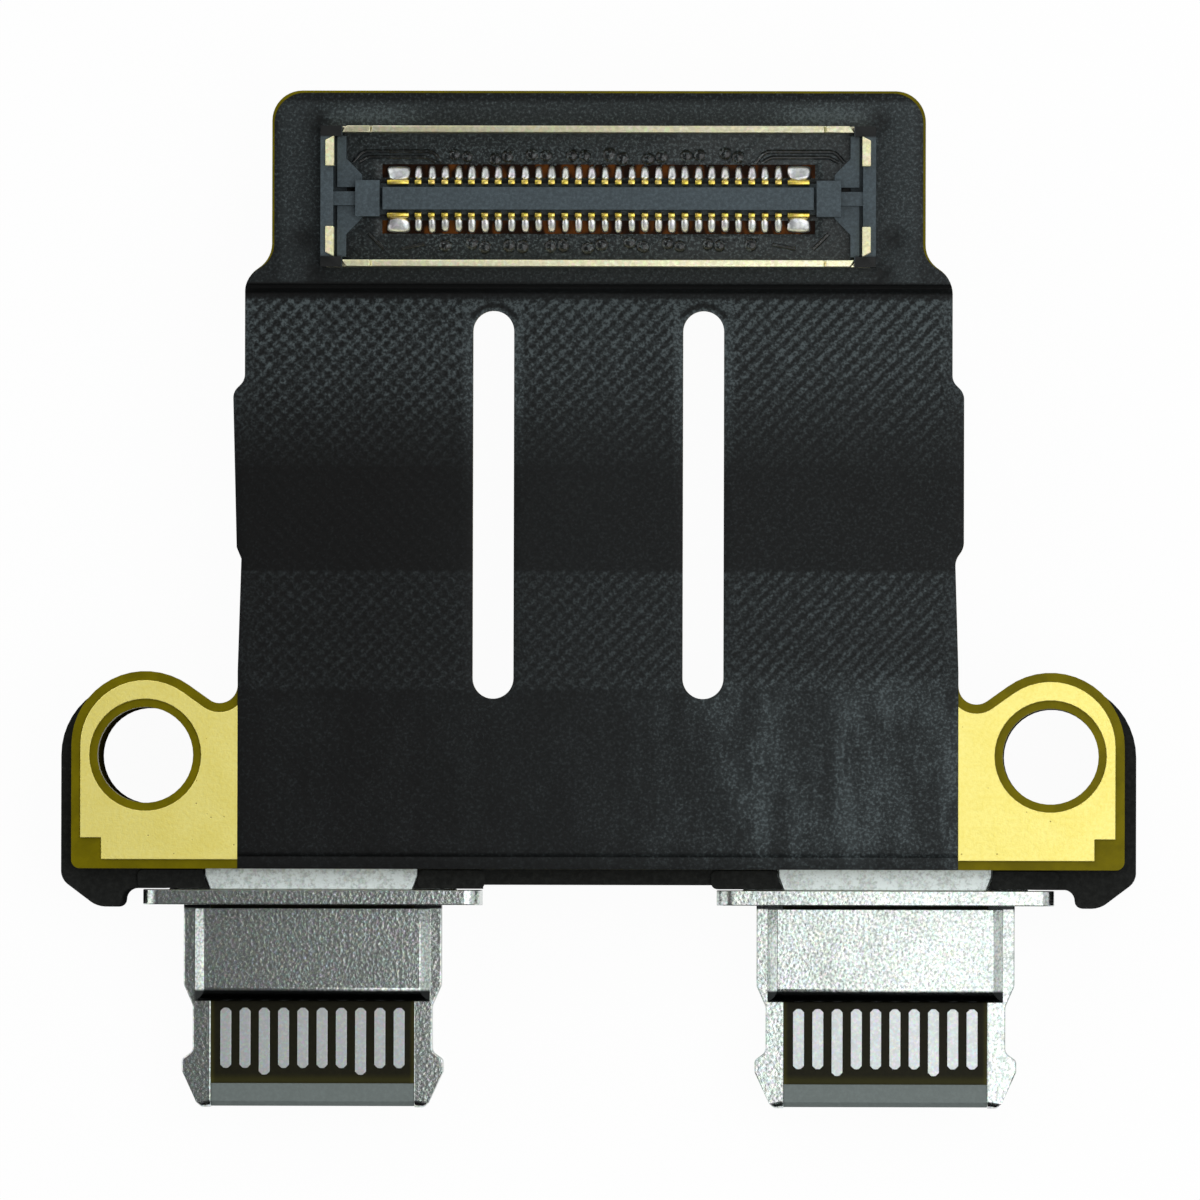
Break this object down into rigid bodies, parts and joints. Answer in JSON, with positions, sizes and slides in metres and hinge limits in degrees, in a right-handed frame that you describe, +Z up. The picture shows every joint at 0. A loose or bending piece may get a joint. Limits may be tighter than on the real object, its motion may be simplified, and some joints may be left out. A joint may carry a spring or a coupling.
{
  "type": "laptop power and data input board",
  "caption": "Laptop input board: reversible power and data port halves on a screw-down carrier, with a slotted flexible circuit up to a board-to-board connector.",
  "frame": {"origin": "midway between the two screw holes, in the plane that the carrier seats on", "axes": "+Z up out of the seat plane, along the screws; +Y from the ports towards the head of the circuit; +X to the right with the ports pointing down"},
  "size_m": [0.0278, 0.0263, 0.0046],
  "materials": {
    "polyimide": "amber-olive film, satin",
    "coverlay_film": "black film, fine grain, soft gloss",
    "head_laminate": "amber-olive laminate, satin cut edge",
    "base_board": "olive laminate, satin",
    "pad_gold": "gold plating, soft satin",
    "carrier_plastic": "black glass-filled moulding, rough",
    "link_plastic": "blue-black moulding, fine grain",
    "shield_plating": "pale champagne plating, grainy",
    "contact_gold": "gold plating, bright",
    "solder": "solder, bright",
    "port_nickel": "blasted nickel plating, sparkling grain",
    "port_contact_plating": "grey-white plating, fine grain",
    "insulator_plastic": "olive-black moulding, smooth",
    "nose_plastic": "grey moulding, smooth"
  },
  "bodies": {
    "root": {"flex_core": "polyimide", "top_coverlay": "coverlay_film", "bottom_coverlay": "coverlay_film", "head_buildup": "head_laminate", "head_backing": "head_laminate", "port_base": "base_board", "left_ground_pad": "pad_gold", "right_ground_pad": "pad_gold", "carrier": "carrier_plastic", "link_housing": "link_plastic", "upper_shield": "shield_plating", "lower_shield": "shield_plating", "upper_signal_contacts": "contact_gold", "lower_signal_contacts": "contact_gold", "upper_power_contacts": "contact_gold", "lower_power_contacts": "contact_gold", "upper_solder": "solder", "lower_solder": "solder", "left_port_shell": "port_nickel", "left_tongue_frame": "port_nickel", "left_upper_shoulder": "port_nickel", "left_lower_shoulder": "port_nickel", "left_upper_contacts": "port_contact_plating", "left_lower_contacts": "port_contact_plating", "left_insulator": "insulator_plastic", "left_nose": "nose_plastic", "right_port_shell": "port_nickel", "right_tongue_frame": "port_nickel", "right_upper_shoulder": "port_nickel", "right_lower_shoulder": "port_nickel", "right_upper_contacts": "port_contact_plating", "right_lower_contacts": "port_contact_plating", "right_insulator": "insulator_plastic", "right_nose": "nose_plastic"}
  },
  "joints": []
}
